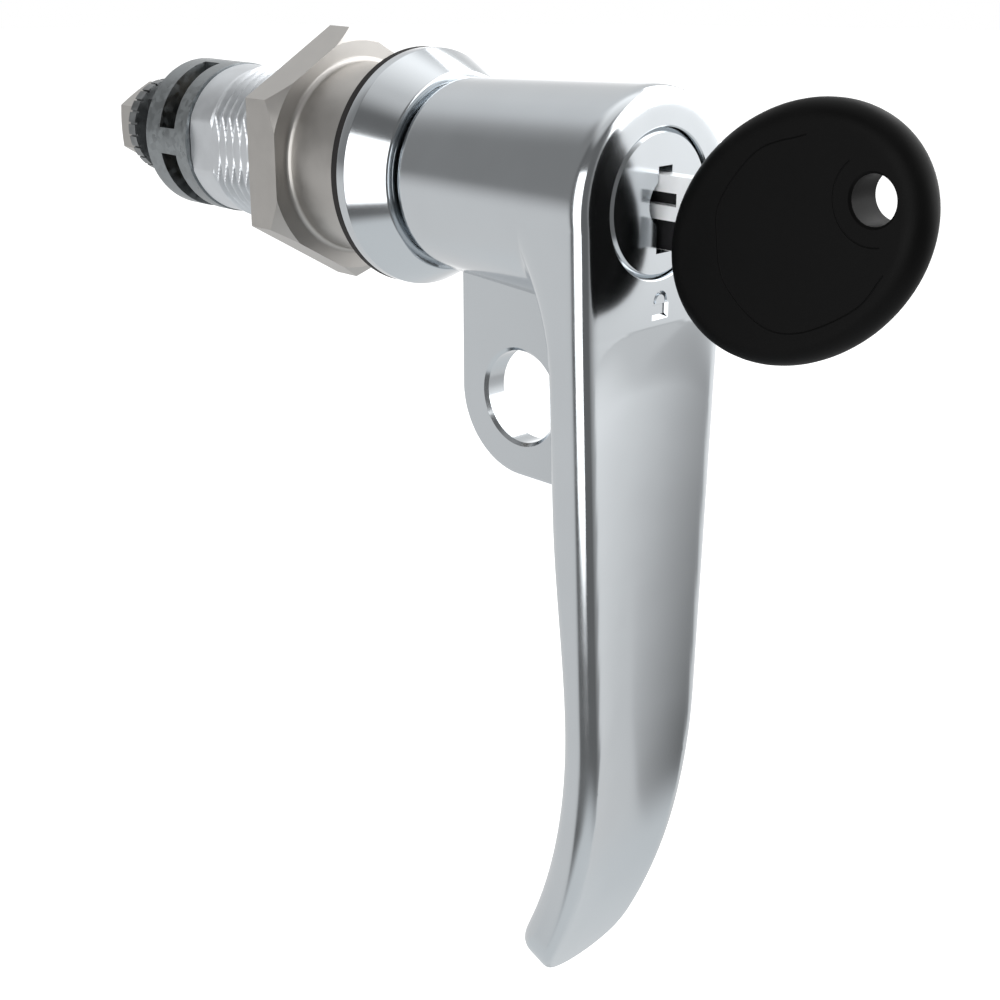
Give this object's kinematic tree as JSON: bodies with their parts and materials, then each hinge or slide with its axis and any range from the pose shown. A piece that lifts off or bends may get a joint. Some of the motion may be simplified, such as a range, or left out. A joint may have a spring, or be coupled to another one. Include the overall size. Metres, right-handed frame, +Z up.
{
  "type": "l-handle cam latch",
  "caption": "Chromed L-handle with key lock, padlock eye and threaded barrel; a flange and clamp nut hold it in a door panel and its spindle turns a cam.",
  "frame": {"origin": "on the turning axis, on the outer face of the door panel, where the gasket bears", "axes": "+Y along the turning axis, through the panel towards the cam end; +Z up, so the closed lever hangs along -Z; +X to the right of someone facing the handle"},
  "size_m": [0.028, 0.1284, 0.1154],
  "materials": {
    "handle_chrome": "polished chrome on zinc",
    "housing_chrome": "polished chrome on zinc",
    "gasket_rubber": "matt black rubber",
    "nut_nickel": "nickel plated, satin",
    "thrust_plastic": "natural plastic",
    "bush_bronze": "sintered bronze",
    "spindle_steel": "zinc plated steel",
    "pin_steel": "hardened steel",
    "seal_rubber": "black rubber",
    "sleeve_zinc": "mottled galvanised zinc",
    "ring_steel": "black spring steel",
    "washer_steel": "dark spring steel",
    "screw_steel": "nickel plated steel",
    "shell_zinc": "die-cast zinc",
    "plug_chrome": "polished chrome on zinc",
    "wafer_brass": "stamped brass",
    "spring_steel": "bright spring wire",
    "clip_steel": "black spring steel",
    "driver_zinc": "die-cast zinc",
    "bolt_steel": "steel",
    "bow_plastic": "matt black plastic",
    "blade_nickel": "nickel silver"
  },
  "bodies": {
    "housing": {"housing": "housing_chrome", "gasket": "gasket_rubber", "thrust_washer": "thrust_plastic", "barrel_bush": "bush_bronze"},
    "nut": {"clamp_nut": "nut_nickel"},
    "handle": {"handle": "handle_chrome", "lock_shell": "shell_zinc", "spindle": "spindle_steel", "cross_pin": "pin_steel", "seal_ring": "seal_rubber", "stop_sleeve": "sleeve_zinc", "retaining_ring": "ring_steel", "lock_washer": "washer_steel", "cam_screw": "screw_steel"},
    "plug": {"lock_plug": "plug_chrome", "wafers": "wafer_brass", "wafer_springs": "spring_steel", "plug_clip": "clip_steel", "bolt_driver": "driver_zinc"},
    "bolt": {"locking_bolt": "bolt_steel"},
    "key": {"key_bow": "bow_plastic", "key_blade": "blade_nickel"}
  },
  "joints": [
    {"name": "handle_turn", "type": "hinge", "parent": "housing", "child": "handle", "pos_m": [0, 0, 0], "axis": [0, 1, 0], "range_deg": [0, 90]},
    {"name": "plug_turn", "type": "hinge", "parent": "handle", "child": "plug", "pos_m": [0, 0, 0], "axis": [0, 1, 0], "range_deg": [0, 90]},
    {"name": "bolt_slide", "type": "slide", "parent": "handle", "child": "bolt", "axis": [0, 0, 1], "range_m": [0, 0.0012]},
    {"name": "key_slide", "type": "slide", "parent": "plug", "child": "key", "axis": [0, -1, 0], "range_m": [0, 0.028]},
    {"name": "nut_travel", "type": "slide", "parent": "housing", "child": "nut", "axis": [0, 1, 0], "range_m": [0, 0.012]}
  ],
  "couplings": [
    {"joint": "bolt_slide", "follows": "plug_turn", "m_per_rad": 0.00076527}
  ]
}
